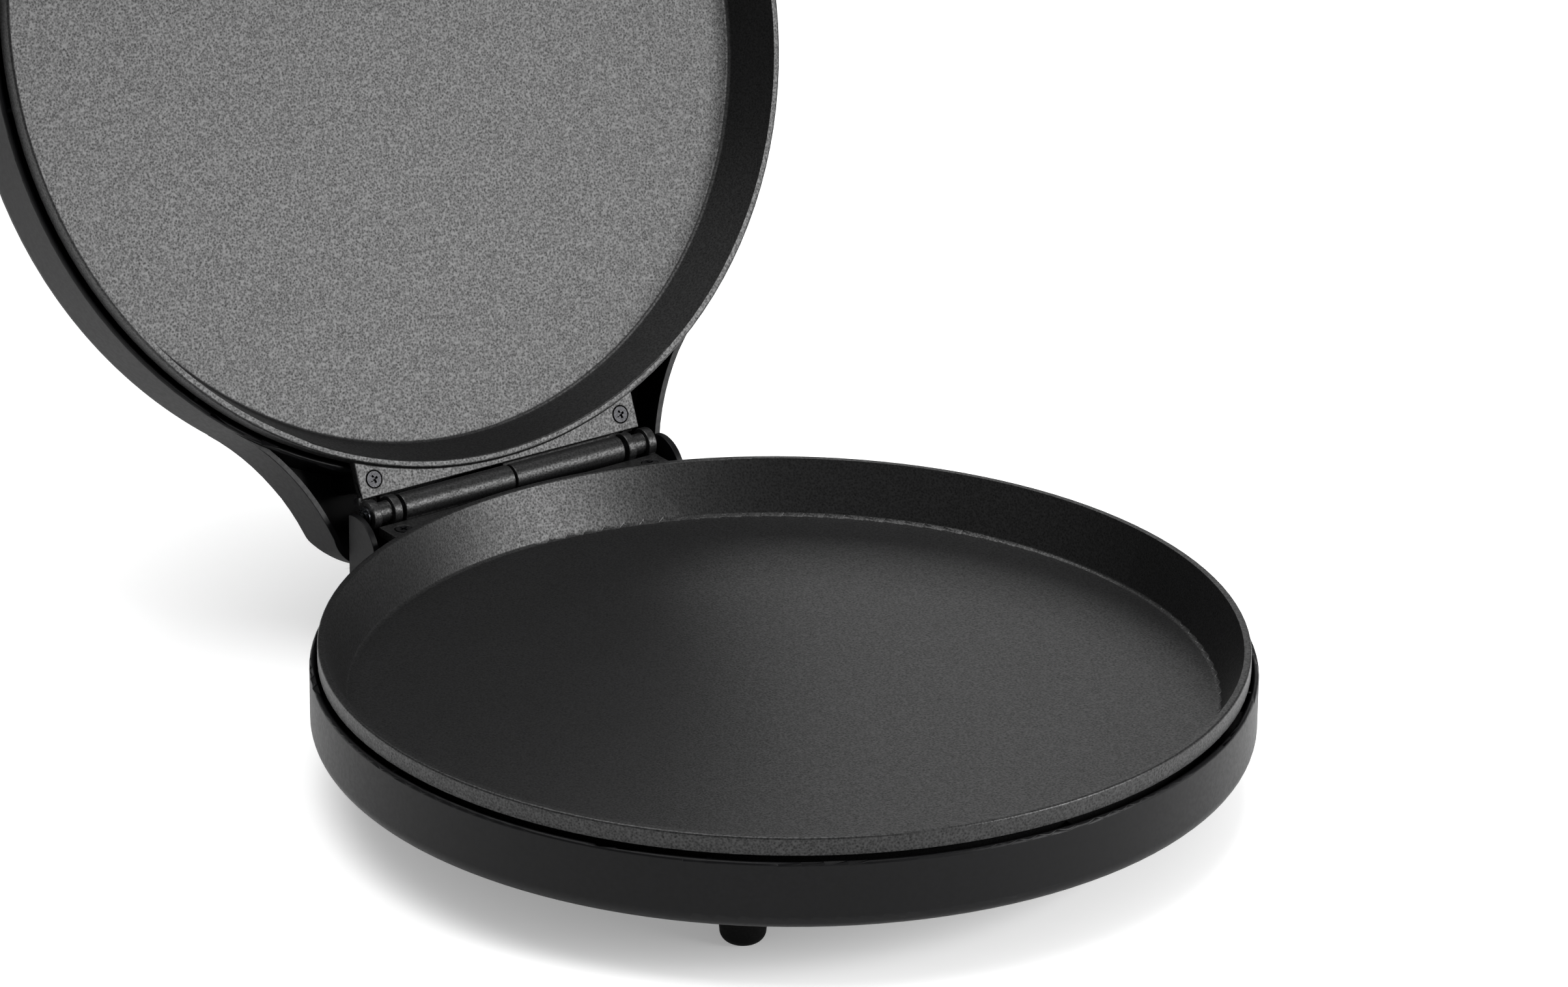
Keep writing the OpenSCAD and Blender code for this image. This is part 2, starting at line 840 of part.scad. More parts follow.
// Leads in the base: from the bushing to the block, from the block to the heater and up the hinge
module lower_leads() {
    z = block_z + 4;
    color("#c8c2b4")
        in_base() {
            for (side = [-1, 1]) {
                lead([
                    [side * (block_half + 0.2), block_y, z],
                    [side * (block_half + 5), block_y, z],
                    [side * heater_x, heater_y, z],
                    [side * heater_x, heater_y, -pin_end - 0.2]
                ]);
                lead(concat(hinge_way(side * lead_x, -1), [[side * lead_x, block_back + seat, z]]));
            }
            lead([
                [bush_x, stop_y - bush_in - 0.2, bush_z],
                [bush_x, casing_r - 31, bush_z - 2.5],
                [bush_x + 12, shield_r - 7, -behind_shield(shield_r)],
                [bush_x + 22, block_back + seat + lead_r, z]
            ]);
        }
}

// Plan of the lid's tail, drawn inwards by a wall: it flares from the round lid
module tail_plan(wall) {
    back = hinge_y + tail_back - wall;
    r = tail_round - wall;
    y = back - r;
    half = flare_x - sqrt(pow(flare_r + wall, 2) - pow(flare_y - y, 2));
    difference() {
        polygon([[0, 0], [flare_x * y / flare_y, y], [-flare_x * y / flare_y, y]]);
        for (side = [-1, 1])
            translate([side * flare_x, flare_y]) circle(r = flare_r + wall, $fn = 240);
    }
    translate([-(half - r), y - cut]) square([2 * (half - r), r + cut]);
    for (side = [-1, 1])
        translate([side * (half - r), y]) circle(r = r, $fn = 64);
}

// Side view of the tail, drawn inwards by a wall, with its end leaning forward
module tail_side(wall) {
    top = tail_edge + tail_h - wall;
    back = hinge_y + tail_back - wall / cos(tail_lean);
    r = tail_edge_round - wall / 2;
    // Corner where the leaning end meets the roof
    corner_y = back - (top - tail_edge) * tan(tail_lean);
    reach = r * tan((90 - tail_lean) / 2);
    low = -cut * 20;
    union() {
        polygon([
            [0, low],
            [back - (low - tail_edge) * tan(tail_lean), low],
            [corner_y + reach * sin(tail_lean), top - reach * cos(tail_lean)],
            [corner_y - reach, top],
            [0, top]
        ]);
        intersection() {
            translate([corner_y - reach, top - r]) circle(r = r, $fn = 64);
            translate([corner_y - reach, top - r]) square([2 * r, r + cut]);
        }
    }
}

module tail_solid(wall, low) {
    intersection() {
        translate([0, 0, low]) linear_extrude(height = tail_h + 2 * cut) tail_plan(wall);
        rotate([90, 0, 90])
            translate([0, 0, -casing_r])
                linear_extrude(height = 2 * casing_r)
                    tail_side(wall);
    }
}

module lid_casing() {
    color("#1d1d1e")
        in_lid()
            difference() {
                union() {
                    turned_over() round_casing();
                    difference() {
                        tail_solid(0, tail_edge);
                        tail_solid(casing_wall, tail_edge - cut);
                        turned_over() casing_solid(casing_wall / 2);
                    }
                    turned_over() hinge_posts(-tail_edge - tail_h + 1);
                    turned_over() front_post();
                }
                turned_over() front_post_hole();
                turned_over() hinge_post_holes();
                // Way for the leads from the tail into the lid
                translate([-slot_half, rib_r - cut, side_low - slot_inset - slot_h])
                    cube([2 * slot_half, casing_r - rib_r + 2 * cut, slot_h]);
                // Holes for the lenses and the handle's screws
                both_sides(lens_x)
                    translate([0, lens_y, casing_depth - 8]) cylinder(h = 10, r = lens_r + seat);
                both_sides(handle_screw_x)
                    translate([0, saddle_y, side_low]) cylinder(h = 20, r = shank_r + 0.4);
            }
}

module upper_plate() {
    color("#2b2b2c") in_lid() turned_over() plate();
}

module upper_element() {
    color("#6f6a64") in_lid() turned_over() element();
}

module upper_heat_shield() {
    color("#b9bbbd") in_lid() turned_over() heat_shield();
}

module upper_shield_screws() {
    color("#9a9c9f") in_lid() turned_over() shield_screws();
}

module upper_hinge_screws() {
    color("#2e2f31") in_lid() turned_over() hinge_screws();
}

module lid_screw() {
    color("#8b8d90") in_lid() turned_over() front_screw();
}

// Height of the casing's dished face above the parting plane, at a distance from the middle
function dish_z(r) =
    side_low + edge_round * cos(dish_slope)
    + (casing_r - edge_round + edge_round * sin(dish_slope) - r) * tan(dish_slope);

// Handle: two arms, each with a pad that follows the lid's face, and a round grip bar
module handle() {
    color("#1a1a1b")
        in_lid()
            difference() {
                union() {
                    translate([0, grip_y, grip_rise]) rod_x(-grip_half, grip_half, grip_r);
                    for (side = [-1, 1])
                        hull() {
                            translate([side * grip_half, grip_y, grip_rise]) sphere(r = grip_r, $fn = 32);
                            translate([side * grip_half, -casing_r - 6, grip_rise + 3])
                                sphere(r = grip_r - 1, $fn = 32);
                        }
                    for (side = [-1, 1])
                        hull() {
                            translate([side * grip_half, -casing_r - 6, grip_rise + 3])
                                sphere(r = grip_r - 1, $fn = 32);
                            translate([side * handle_screw_x, saddle_y, saddle_z - saddle_sink])
                                cylinder(h = handle_tip_z + 1 - saddle_z + saddle_sink, r = 8.5, $fn = 32);
                        }
                }
                turned_over() casing_solid(-0.1);
                turned_over() casing_body_below();
                both_sides(handle_screw_x)
                    translate([0, saddle_y, side_low])
                        cylinder(h = handle_tip_z + seat - side_low, r = shank_r + shank_play);
            }
}

// Column under the casing's edge, so that nothing of the handle reaches inside the round
module casing_body_below() {
    translate([0, 0, -edge_drop - cut]) cylinder(h = edge_drop + 2 * cut, r = casing_r + 0.1, $fn = 180);
}

module handle_screws() {
    color("#8b8d90")
        in_lid()
            both_sides(handle_screw_x)
                translate([0, saddle_y, handle_head_z])
                    rotate([180, 0, 0])
                        translate([0, 0, handle_head_t])
                            flat_screw(handle_head_r, handle_head_t, shank_r, handle_screw_len);
}

// Disc thermostat on the back of the upper plate
stat_z = -(under + plate_top);
stat_h = 7.8;
stat_leg = 4;

module thermostat() {
    color("#3a3a3c")
        in_lid() {
            translate([0, 0, stat_z + 0.2]) cylinder(h = 3, r = 8.2);
            translate([0, 0, stat_z + 3.2]) cylinder(h = stat_h - 3.2, r = 6.6);
            for (side = [-1, 1])
                translate([side * stat_leg - 0.4, -2, stat_z + stat_h]) cube([0.8, 4, 3]);
        }
}

// Ring that clamps the thermostat, with two ears on the plate
module thermostat_clamp() {
    color("#b4b6b8")
        in_lid()
            difference() {
                union() {
                    translate([0, 0, stat_z]) cylinder(h = 4.2, r = 9.4);
                    translate([-15, -3.5, stat_z]) cube([30, 7, 0.8]);
                }
                translate([0, 0, stat_z - cut]) cylinder(h = 4.4 + cut, r = 8.4);
                translate([0, 0, stat_z]) cylinder(h = 8, r = 6.8);
            }
    color("#b4b6b8")
        in_lid()
            translate([0, 0, stat_z + 3.4])
                difference() {
                    cylinder(h = 0.8, r = 9);
                    translate([0, 0, -cut]) cylinder(h = 3, r = 6.8);
                }
}

// Indicator lights in the flat middle of the lid
lens_y = -84;
lens_h = casing_wall + 1.4;
// Radius of a lens's domed top, and the height of that dome
dome_r = 9;
dome_h = dome_r - sqrt(dome_r * dome_r - lens_r * lens_r);
lens_z = casing_depth;

module lens(side, paint) {
    color(paint)
        in_lid()
            translate([side * lens_x, lens_y, lens_z - casing_wall - 1]) {
                cylinder(h = 1, r = lens_r + 1);
                intersection() {
                    cylinder(h = lens_h + dome_h + cut, r = lens_r);
                    translate([0, 0, lens_h + dome_h - dome_r]) sphere(r = dome_r);
                }
            }
}

module power_lens() {
    lens(-1, "#8c1c14");
}

module ready_lens() {
    lens(1, "#2c7a36");
}

// Holder with a clip under each lens
module lamp_holder() {
    color("#dcd9cf")
        in_lid()
            difference() {
                translate([-lens_x - 7, lens_y - 6, lens_z - casing_wall - 5.6])
                    cube([2 * lens_x + 14, 12, 4.4]);
                both_sides(lens_x)
                    translate([0, lens_y - 7, lens_z - casing_wall - 2.4])
                        rotate([-90, 0, 0])
                            cylinder(h = 14, r = 2.2, $fn = 48);
            }
}

module indicator_lamps() {
    color("#e8e2cf")
        in_lid()
            both_sides(lens_x)
                translate([0, lens_y - 4.5, lens_z - casing_wall - 3.2])
                    rotate([-90, 0, 0])
                        cylinder(h = 9, r = 1.2, $fn = 48);
}

// Leads in the lid: one to the heater, one to the thermostat and one on from there
module upper_leads() {
    high = pin_end + 2.8;
    leg = stat_z + stat_h + 3.2;
    // Where the link bends past the thermostat, and in front of the heater's end
    bend_x = 16;
    bend_back = 15;
    color("#c8c2b4")
        in_lid() {
            lead(concat(
                hinge_way(-lead_x, 1),
                [[-heater_x, heater_y, high], [-heater_x, heater_y, pin_end + seat]]
            ));
            lead(concat(
                hinge_way(lead_x, 1),
                [[stat_leg, 10, high], [stat_leg, 0, high], [stat_leg, 0, leg]]
            ));
            lead([
                [-stat_leg, 0, leg],
                [-stat_leg, 0, high],
                [-stat_leg, -9, high],
                [bend_x, -4, high],
                [heater_x, heater_y - bend_back, high],
                [heater_x, heater_y, high],
                [heater_x, heater_y, pin_end + seat]
            ]);
        }
}

base_casing();
lower_plate();
lower_element();
lower_heat_shield();
lower_shield_screws();
lower_hinge_screws();
base_screw();
foot_front_left();
foot_front_right();
foot_rear_left();
foot_rear_right();
hinge_pin();
pin_clips();
cord_bushing();
terminal_block();
thermal_fuse();
fuse_clamp();
lower_leads();
lid_casing();
upper_plate();
upper_element();
upper_heat_shield();
upper_shield_screws();
upper_hinge_screws();
lid_screw();
handle();
handle_screws();
thermostat();
thermostat_clamp();
power_lens();
ready_lens();
indicator_lamps();
lamp_holder();
upper_leads();
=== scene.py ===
"""Electric pizza maker standing open, seen from its front left.

Blender works in metres. A name that ends in _mm holds millimetres and one that ends in _px holds
pixels of the 2408 x 1516 photograph. Colours are sRGB hex values.
"""

import json
import logging
import math
from dataclasses import dataclass, field
from enum import Enum

import bmesh
import bpy
from mathutils import Matrix, Vector
from mathutils.kdtree import KDTree


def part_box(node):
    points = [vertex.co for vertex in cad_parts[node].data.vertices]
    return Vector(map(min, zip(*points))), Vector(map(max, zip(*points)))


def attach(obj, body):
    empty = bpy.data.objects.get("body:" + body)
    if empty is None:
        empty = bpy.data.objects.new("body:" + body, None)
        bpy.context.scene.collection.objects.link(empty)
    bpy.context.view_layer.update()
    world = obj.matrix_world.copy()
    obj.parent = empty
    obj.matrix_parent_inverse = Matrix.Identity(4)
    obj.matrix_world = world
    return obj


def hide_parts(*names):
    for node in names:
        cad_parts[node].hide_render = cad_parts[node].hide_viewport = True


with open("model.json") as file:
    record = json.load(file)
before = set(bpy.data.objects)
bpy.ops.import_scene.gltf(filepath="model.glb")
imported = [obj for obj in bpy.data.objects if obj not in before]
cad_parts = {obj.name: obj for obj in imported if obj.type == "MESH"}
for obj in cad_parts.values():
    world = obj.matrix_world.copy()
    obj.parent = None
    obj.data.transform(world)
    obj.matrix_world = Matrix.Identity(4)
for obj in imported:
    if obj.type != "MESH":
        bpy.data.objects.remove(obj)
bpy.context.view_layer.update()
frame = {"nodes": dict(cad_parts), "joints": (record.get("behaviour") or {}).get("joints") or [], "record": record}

MM = 0.001
log = logging.getLogger("pizza_maker")


class Body(Enum):
    """The two bodies that the hinge joins."""

    BASE = "base"
    LID = "lid"


def linear(hex_colour: str) -> tuple[float, float, float, float]:
    """Turns an sRGB hex colour into linear RGBA.

    Args:
        hex_colour: Six hex digits after a hash sign.

    Returns:
        Linear red, green, blue and an alpha of 1.
    """
    parts = [int(hex_colour[i:i + 2], 16) / 255 for i in (1, 3, 5)]
    values = [p / 12.92 if p <= 0.04045 else ((p + 0.055) / 1.055) ** 2.4 for p in parts]
    return (values[0], values[1], values[2], 1.0)


def add_node(tree: bpy.types.NodeTree, kind: str, settings: dict, inputs: dict) -> bpy.types.Node:
    """Adds a shader node with its settings and links.

    Args:
        tree: Node tree that the node goes into.
        kind: Blender's name of the node type.
        settings: Properties of the node by name.
        inputs: Values or other nodes' sockets, by the input's name or number.

    Returns:
        The new node.
    """
    made = tree.nodes.new(kind)
    for name, value in settings.items():
        setattr(made, name, value)
    for key, value in inputs.items():
        if isinstance(value, bpy.types.NodeSocket):
            tree.links.new(value, made.inputs[key])
        else:
            made.inputs[key].default_value = value
    return made


def blank_material(name: str) -> tuple[bpy.types.Material, bpy.types.NodeTree]:
    """Makes an empty node material.

    Args:
        name: Name of the material.

    Returns:
        The material and its node tree.
    """
    material = bpy.data.materials.new(name)
    material.use_nodes = True
    material.node_tree.nodes.clear()
    return material, material.node_tree


@dataclass(frozen=True)
class Finish:
    """A surface finish with a fine grain in colour, gloss and height."""

    name: str
    colour: str
    fleck: str
    grain_mm: float
    roughness: float
    roughness_spread: float = 0.06
    metallic: float = 0.0
    specular: float = 0.5
    relief_mm: float = 0.01
    low: float = 0.35
    high: float = 0.65
    stretch: tuple[float, float, float] = (1.0, 1.0, 1.0)
    transmission: float = 0.0
    coat: float = 0.0
    cloud_mm: float = 30.0
    cloud_detail: float = 2.0
    grain_detail: float = 3.0
    grain_roughness: float = 0.6

    def coordinates(self, tree: bpy.types.NodeTree) -> bpy.types.NodeSocket:
        """Gives the pattern's coordinates, stretched along the direction of the grain.

        Args:
            tree: Node tree of the material.

        Returns:
            The socket that holds the coordinates.
        """
        where = add_node(tree, "ShaderNodeTexCoord", {}, {})
        mapped = add_node(
            tree, "ShaderNodeMapping", {},
            {"Vector": where.outputs["Object"], "Scale": self.stretch},
        )
        return mapped.outputs["Vector"]

    def shine(self, tree: bpy.types.NodeTree, height: bpy.types.NodeSocket) -> dict:
        """Gives the shader's input for the strength of its highlights.

        Args:
            tree: Node tree of the material.
            height: Height of the grain.

        Returns:
            The input's value or socket by the input's name.
        """
        return {"Specular IOR Level": self.specular}

    def grain(self, tree: bpy.types.NodeTree, where: bpy.types.NodeSocket) -> bpy.types.NodeSocket:
        """Gives the grain's height from 0 to 1.

        Args:
            tree: Node tree of the material.
            where: Coordinates of the pattern.

        Returns:
            The socket that holds the height.
        """
        noise = add_node(
            tree, "ShaderNodeTexNoise", {},
            {
                "Vector": where, "Scale": 1 / (self.grain_mm * MM),
                "Detail": self.grain_detail, "Roughness": self.grain_roughness,
            },
        )
        return noise.outputs["Fac"]

    def build(self) -> bpy.types.Material:
        """Makes the material.

        Returns:
            The finished material.
        """
        material, tree = blank_material(self.name)
        where = self.coordinates(tree)
        height = self.grain(tree, where)
        amount = add_node(
            tree, "ShaderNodeMapRange", {},
            {"Value": height, "From Min": self.low, "From Max": self.high},
        )
        cloud = add_node(
            tree, "ShaderNodeTexNoise", {},
            {"Vector": where, "Scale": 1 / (self.cloud_mm * MM), "Detail": self.cloud_detail},
        )
        share = add_node(
            tree, "ShaderNodeMath", {"operation": "MULTIPLY"},
            {0: amount.outputs["Result"], 1: cloud.outputs["Fac"]},
        )
        colour = add_node(
            tree, "ShaderNodeMix", {"data_type": "RGBA"},
            {0: share.outputs["Value"], 6: linear(self.colour), 7: linear(self.fleck)},
        )
        gloss = add_node(
            tree, "ShaderNodeMapRange", {},
            {
                "Value": height, "From Min": self.low, "From Max": self.high,
                "To Min": self.roughness + self.roughness_spread,
                "To Max": self.roughness - self.roughness_spread,
            },
        )
        relief = add_node(
            tree, "ShaderNodeBump", {},
            {"Height": height, "Strength": 1.0, "Distance": self.relief_mm * MM},
        )
        shader = add_node(
            tree, "ShaderNodeBsdfPrincipled", {},
            {
                "Base Color": colour.outputs[2],
                "Roughness": gloss.outputs["Result"],
                "Normal": relief.outputs["Normal"],
                "Metallic": self.metallic,
                "Transmission Weight": self.transmission,
                "Coat Weight": self.coat,
                **self.shine(tree, height),
            },
        )
        add_node(tree, "ShaderNodeOutputMaterial", {}, {"Surface": shader.outputs[0]})
        return material


@dataclass(frozen=True)
class SprayedCoating(Finish):
    """Non-stick coating, sprayed on cast metal and baked: a dense grit with bright flakes."""

    flake_specular: float = 1.0
    dust_share: float = 0.6

    def shine(self, tree: bpy.types.NodeTree, height: bpy.types.NodeSocket) -> dict:
        """Gives highlights that are strong on the flakes and weak between them.

        Args:
            tree: Node tree of the material.
            height: Height of the grain.

        Returns:
            The input's socket by the input's name.
        """
        strength = add_node(
            tree, "ShaderNodeMapRange", {},
            {
                "Value": height, "From Min": self.low, "From Max": self.high,
                "To Min": self.specular, "To Max": self.flake_specular,
            },
        )
        return {"Specular IOR Level": strength.outputs["Result"]}

    def grain(self, tree: bpy.types.NodeTree, where: bpy.types.NodeSocket) -> bpy.types.NodeSocket:
        """Gives round grit of one size with finer dust between.

        Args:
            tree: Node tree of the material.
            where: Coordinates of the pattern.

        Returns:
            The socket that holds the height.
        """
        grit = add_node(
            tree, "ShaderNodeTexVoronoi", {"feature": "F1"},
            {"Vector": where, "Scale": 1 / (self.grain_mm * MM)},
        )
        dust = super().grain(tree, where)
        mixed = add_node(
            tree, "ShaderNodeMix", {"data_type": "FLOAT"},
            {0: self.dust_share, 2: grit.outputs["Distance"], 3: dust},
        )
        return mixed.outputs[0]


@dataclass(frozen=True)
class WovenSleeve(Finish):
    """Glass sleeve woven over a lead: fine bands across the grain."""

    bands_per_grain: float = 0.5
    waviness: float = 1.5

    def grain(self, tree: bpy.types.NodeTree, where: bpy.types.NodeSocket) -> bpy.types.NodeSocket:
        """Gives the weave's bands.

        Args:
            tree: Node tree of the material.
            where: Coordinates of the pattern.

        Returns:
            The socket that holds the height.
        """
        bands = add_node(
            tree, "ShaderNodeTexWave", {"bands_direction": "DIAGONAL"},
            {
                "Vector": where, "Scale": self.bands_per_grain / (self.grain_mm * MM),
                "Distortion": self.waviness,
            },
        )
        return bands.outputs["Fac"]


# Apart from the sleeve's weave, the real grit and grain are finer than the sizes given here, which
# are as coarse as they need to be to show in the render.

# Sprayed and baked over a cast skin: dark, with grit that glitters where a lamp is mirrored.
COATING = SprayedCoating(
    "sprayed_nonstick_on_cast_aluminium", "#050505", "#101011", grain_mm=0.8, roughness=0.45,
    roughness_spread=0.05, specular=0.18, relief_mm=0.065, low=0.25, high=0.65, flake_specular=0.62,
)
# Moulded in a smooth tool: a calm satin black whose edges brighten at a glancing angle.
PHENOLIC = Finish(
    "moulded_black_phenolic", "#040405", "#08080a", grain_mm=1.6, roughness=0.42,
    roughness_spread=0.03, specular=0.15, relief_mm=0.003,
)
# The grip is moulded in a lightly blasted tool, which leaves a fine, shallow grain.
HANDLE_PHENOLIC = Finish(
    "moulded_black_phenolic_grip", "#080809", "#101011", grain_mm=0.8, roughness=0.4,
    roughness_spread=0.05, specular=0.22, relief_mm=0.01,
)
# Moulded rubber is matt and almost without a highlight.
RUBBER = Finish(
    "moulded_black_rubber", "#030303", "#070707", grain_mm=0.7, roughness=0.7,
    specular=0.12, relief_mm=0.015,
)
# Oiled black oxide keeps the steel's soft metal sheen under a dark skin.
BLACK_OXIDE = Finish(
    "black_oxide_screw_steel", "#19191b", "#2c2c2e", grain_mm=0.4, roughness=0.36,
    metallic=0.8, relief_mm=0.004,
)
# Bright zinc plate is pale and slightly clouded.
ZINC = Finish(
    "zinc_plated_screw_steel", "#9a9ca0", "#b9babd", grain_mm=0.5, roughness=0.3,
    metallic=1.0, relief_mm=0.004,
)
# The pin's drawing lines run along it.
DRAWN_STEEL = Finish(
    "drawn_pin_steel", "#4b4d50", "#6a6c70", grain_mm=0.5, roughness=0.28,
    metallic=1.0, relief_mm=0.004, stretch=(0.05, 1.0, 1.0),
)
# Rolled aluminised sheet has a fine grain in one direction and a broad, pale sheen.
ROLLED_SHEET = Finish(
    "rolled_aluminised_sheet", "#a5a6a8", "#c3c4c6", grain_mm=0.8, roughness=0.36,
    metallic=1.0, relief_mm=0.006, stretch=(0.06, 1.0, 1.0),
)
# A used heater's sheath is brown-grey with heat and dull.
HEATER_SHEATH = Finish(
    "heat_dulled_heater_sheath", "#54504b", "#75695c", grain_mm=2.0, roughness=0.5,
    metallic=0.9, relief_mm=0.01,
)
# Moulded nylon has a faint, waxy highlight.
NYLON = Finish(
    "moulded_black_nylon", "#0f0f10", "#1a1a1b", grain_mm=0.9, roughness=0.42,
    specular=0.35, relief_mm=0.008,
)
# Pressed and fired steatite is off-white and almost matt.
CERAMIC = Finish(
    "pressed_steatite", "#d3d0c6", "#e2dfd6", grain_mm=0.9, roughness=0.45,
    relief_mm=0.01,
)
# Plain brass, neither plated nor polished.
BRASS = Finish(
    "plain_brass", "#b79a58", "#cbb070", grain_mm=0.6, roughness=0.3,
    metallic=1.0, relief_mm=0.004,
)
# Pressed phenolic shows its filler as a fine grey mottle.
PRESSED_PHENOLIC = Finish(
    "pressed_thermostat_phenolic", "#2a2a2c", "#38383a", grain_mm=0.7, roughness=0.5,
    relief_mm=0.01,
)
# Both lenses are tinted right through and have a moulded gloss.
RED_LENS = Finish(
    "clear_red_acrylic", "#a0160f", "#b52018", grain_mm=3.0, roughness=0.12,
    transmission=0.6, relief_mm=0.001, coat=0.3,
)
GREEN_LENS = Finish(
    "clear_green_acrylic", "#1d7a31", "#278a3b", grain_mm=3.0, roughness=0.12,
    transmission=0.6, relief_mm=0.001, coat=0.3,
)
# The lamps' glass is clear and only faintly warm.
LAMP_GLASS = Finish(
    "clear_lamp_glass", "#efe9d6", "#f4efe0", grain_mm=2.0, roughness=0.05,
    transmission=0.9, relief_mm=0.001,
)
# A woven glass sleeve is cream and matt, with its weave as fine ribs.
SLEEVE = WovenSleeve(
    "woven_glass_sleeve", "#b9b2a2", "#d8d2c4", grain_mm=0.8, roughness=0.75,
    relief_mm=0.05,
)

SLOT_FINISHES: dict[str, Finish] = {
    "casing_plastic": PHENOLIC,
    "handle_plastic": HANDLE_PHENOLIC,
    "coated_cast_aluminium": COATING,
    "heater_steel": HEATER_SHEATH,
    "shield_sheet": ROLLED_SHEET,
    "zinc_screw": ZINC,
    "black_screw": BLACK_OXIDE,
    "foot_rubber": RUBBER,
    "pin_steel": DRAWN_STEEL,
    "bushing_nylon": NYLON,
    "ceramic_white": CERAMIC,
    "fuse_brass": BRASS,
    "thermostat_phenolic": PRESSED_PHENOLIC,
    "lens_red": RED_LENS,
    "lens_green": GREEN_LENS,
    "lamp_glass": LAMP_GLASS,
    "lead_glass_sleeve": SLEEVE,
}


@dataclass
class Workshop:
    """Builds materials once and gives each node its finish by the record's slots."""

    materials: dict[str, bpy.types.Material] = field(default_factory=dict)
    slots: dict[str, str] = field(default_factory=dict)

    def __post_init__(self) -> None:
        """Reads which slot each node has."""
        for row in frame["record"]["subparts"]:
            self.slots[row["node"]] = row["material_slot"]

    def material(self, slot: str) -> bpy.types.Material:
        """Gives the material of a slot, made at its first use.

        Args:
            slot: Name of the slot in the record.

        Returns:
            The slot's material.
        """
        if slot not in self.materials:
            self.materials[slot] = SLOT_FINISHES[slot].build()
        return self.materials[slot]

    def dress_node(self, node: str) -> None:
        """Puts its slot's finish on a CAD node, whose shape stays as it is.

        Args:
            node: Name of the node.
        """
        mesh = frame["nodes"][node].data
        mesh.materials.clear()
        mesh.materials.append(self.material(self.slots[node]))


@dataclass
class SurfaceNormals:
    """The exact surface's own normals, looked up by place."""

    source: bpy.types.Mesh
    same_place_mm: float = 0.004
    same_face_deg: float = 30.0
    tree: KDTree = field(init=False)

    def __post_init__(self) -> None:
        """Sorts the corners of the source by place."""
        self.tree = KDTree(len(self.source.loops))
        for loop in self.source.loops:
            self.tree.insert(self.source.vertices[loop.vertex_index].co, loop.index)
        self.tree.balance()

    def at(self, place: Vector, facing: Vector) -> Vector | None:
        """Gives the surface's normal at a corner.

        Args:
            place: Where the corner lies.
            facing: Direction that the corner's face looks in.

        Returns:
            The normal, or nothing if the source has no such corner.
        """
        limit = math.cos(math.radians(self.same_face_deg))
        best = None
        for _, index, _ in self.tree.find_range(place, self.same_place_mm * MM):
            normal = self.source.corner_normals[index].vector
            likeness = normal.dot(facing)
            if likeness > limit:
                limit, best = likeness, normal
        return best

    def apply(self, mesh: bpy.types.Mesh, sharp_deg: float) -> None:
        """Gives a mesh the exact normals, and even ones where its edges were rounded.

        Args:
            mesh: Mesh that gets the normals.
            sharp_deg: Angle between faces above which their edge stays sharp.
        """
        meeting: dict[int, list[bpy.types.MeshPolygon]] = {}
        for face in mesh.polygons:
            for vert in face.vertices:
                meeting.setdefault(vert, []).append(face)
        limit = math.cos(math.radians(sharp_deg))
        normals: list[Vector] = [Vector((0.0, 0.0, 1.0))] * len(mesh.loops)
        for face in mesh.polygons:
            for index in face.loop_indices:
                vert = mesh.loops[index].vertex_index
                normal = self.at(mesh.vertices[vert].co, face.normal)
                if normal is None:
                    normal = Vector((0.0, 0.0, 0.0))
                    for other in meeting[vert]:
                        if other.normal.dot(face.normal) > limit:
                            normal += other.normal * other.area
                    normal.normalize()
                normals[index] = normal
        mesh.normals_split_custom_set(normals)


